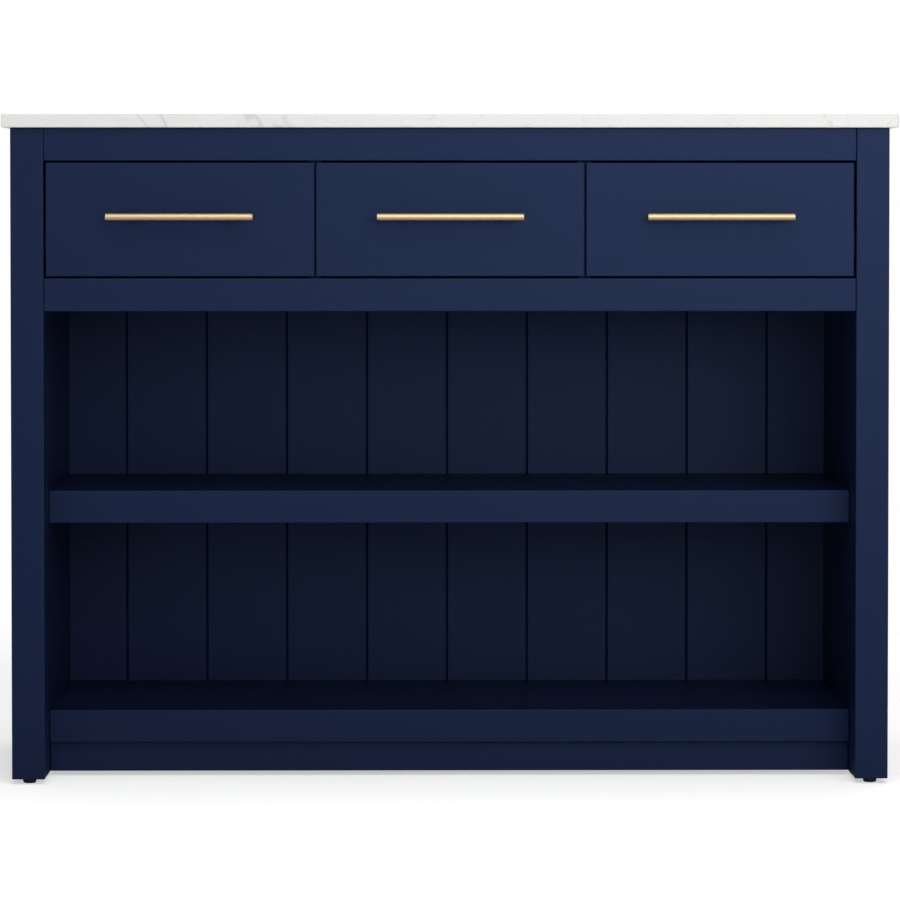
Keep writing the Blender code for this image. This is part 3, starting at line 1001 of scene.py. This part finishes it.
def around(azimuth, elevation, distance=LIGHT_DISTANCE):
    """A place seen from the island: degrees to the right of the front, degrees up, metres."""
    turn = math.radians(azimuth)
    rise = math.radians(elevation)
    ahead = Vector((math.sin(turn) * math.cos(rise), -math.cos(turn) * math.cos(rise), math.sin(rise)))
    return LIGHT_AIM + ahead * distance


class ISLAND_OT_set_stage(bpy.types.Operator):
    """Set the floor, the lights and the camera"""

    bl_idname = "island.set_stage"
    bl_label = "Set the stage"

    def execute(self, context):
        scene = context.scene
        studio = scene.studio_settings
        scene.view_settings.view_transform = "Standard"
        self.lay_floor(studio)
        self.fill_air(scene, studio)
        softbox("key_softbox", around(18, 13), 3.0, 1.5, studio.key)
        softbox("front_softbox", around(4, 44), 2.4, 1.6, studio.front)
        softbox("fill_softbox", around(-26, 33), 2.6, 1.6, studio.fill)
        softbox("rear_softbox", around(160, 28, 4.4), 3.0, 2.0, studio.rear)
        softbox("top_softbox", (0.0, 0.2, 8.0), 5.0, 4.0, studio.top)
        self.place_camera(scene, studio)
        return {"FINISHED"}

    def place_camera(self, scene, studio):
        """A long lens in front, a little below the worktop's height."""
        lens = bpy.data.cameras.new("camera")
        lens.lens = studio.lens
        lens.sensor_width = 36.0
        lens.shift_y = -0.10
        lens.clip_end = 200.0
        camera = bpy.data.objects.new("camera", lens)
        camera.location = CAMERA_PLACE
        camera.rotation_euler = Euler((math.radians(90 - CAMERA_TILT), 0, math.radians(-CAMERA_TURN)))
        scene.collection.objects.link(camera)
        scene.camera = camera

    def lay_floor(self, studio):
        """A pale round floor that fades away at its rim."""
        shape = bmesh.new()
        bmesh.ops.create_circle(shape, cap_ends=True, segments=96, radius=FLOOR_RADIUS)
        floor = object_from("floor", shape)
        paint = Recipe(
            "floor_paint", base_color=(0.93, 0.93, 0.93), roughness=0.9, specular_ior_level=0.1,
            emission_color=(1.0, 1.0, 1.0),
        )
        seen = paint.node("ShaderNodeLightPath", output="Is Camera Ray")
        paint.set("Emission Strength", seen * studio.floor_glow)
        distance = paint.node("ShaderNodeVectorMath", {"operation": "LENGTH"}, {0: paint.place()}, 1)
        mix = paint.node(
            "ShaderNodeMixShader", {},
            {
                0: paint.fade(distance, 1.5, 2.6),
                1: Signal(paint, paint.shader.outputs[0]),
                2: paint.node("ShaderNodeBsdfTransparent"),
            },
        )
        paint.feed(paint.tree.nodes["Material Output"].inputs["Surface"], mix)
        floor.data.materials.append(paint.material)

    def fill_air(self, scene, studio):
        """White surroundings to look at, which light the island only dimly."""
        world = bpy.data.worlds.new("studio_air")
        scene.world = world
        world.use_nodes = True
        air = Graph(world.node_tree)
        height = air.part(air.node("ShaderNodeTexCoord", output="Generated"), 2)
        glow = air.fade(height, -0.02, 0.02, studio.air_below, studio.air_above)
        dim = air.node(
            "ShaderNodeBackground", {},
            {"Color": (1.0, 1.0, 1.0), "Strength": glow * air.fade(height, 0.4, 0.6, 1.0, 0.0)},
        )
        white = air.node("ShaderNodeBackground", {}, {"Color": (1.0, 1.0, 1.0), "Strength": 1.0})
        seen = air.node("ShaderNodeLightPath", output="Is Camera Ray")
        mix = air.node("ShaderNodeMixShader", {}, {0: seen, 1: dim, 2: white})
        air.feed(air.tree.nodes["World Output"].inputs["Surface"], mix)


# ---- Panel and start ---------------------------------------------------------------------

BUILD_ORDER = (
    ISLAND_OT_finish_boards,
    ISLAND_OT_plank_walls,
    ISLAND_OT_join_boxes,
    ISLAND_OT_turn_pulls,
    ISLAND_OT_drive_screws,
    ISLAND_OT_fit_slides,
    ISLAND_OT_turn_feet,
    ISLAND_OT_set_stage,
)


class ISLAND_PT_looks(bpy.types.Panel):
    """Buttons and settings for the island's looks"""

    bl_idname = "ISLAND_PT_looks"
    bl_label = "Kitchen island"
    bl_space_type = "VIEW_3D"
    bl_region_type = "UI"
    bl_category = "Island"

    def draw(self, context):
        layout = self.layout
        for operator in BUILD_ORDER:
            layout.operator(operator.bl_idname)
        for group in GROUPS:
            settings = getattr(context.scene, group)
            box = layout.box()
            for key in settings.__annotations__:
                box.prop(settings, key)


GROUPS = {
    "island_finishes": IslandFinishes,
    "island_sizes": IslandSizes,
    "studio_settings": StudioSettings,
}
CLASSES = (*GROUPS.values(), *BUILD_ORDER, ISLAND_PT_looks)


def register():
    """Add the settings, the operators and the panel."""
    for added in CLASSES:
        bpy.utils.register_class(added)
    for name, group in GROUPS.items():
        setattr(bpy.types.Scene, name, PointerProperty(type=group))


def unregister():
    """Take them away again."""
    for name in GROUPS:
        delattr(bpy.types.Scene, name)
    for added in reversed(CLASSES):
        bpy.utils.unregister_class(added)


def main():
    """Build every piece in order."""
    register()
    for operator in BUILD_ORDER:
        group, name = operator.bl_idname.split(".")
        getattr(getattr(bpy.ops, group), name)()


if __name__ == "__main__":
    main()
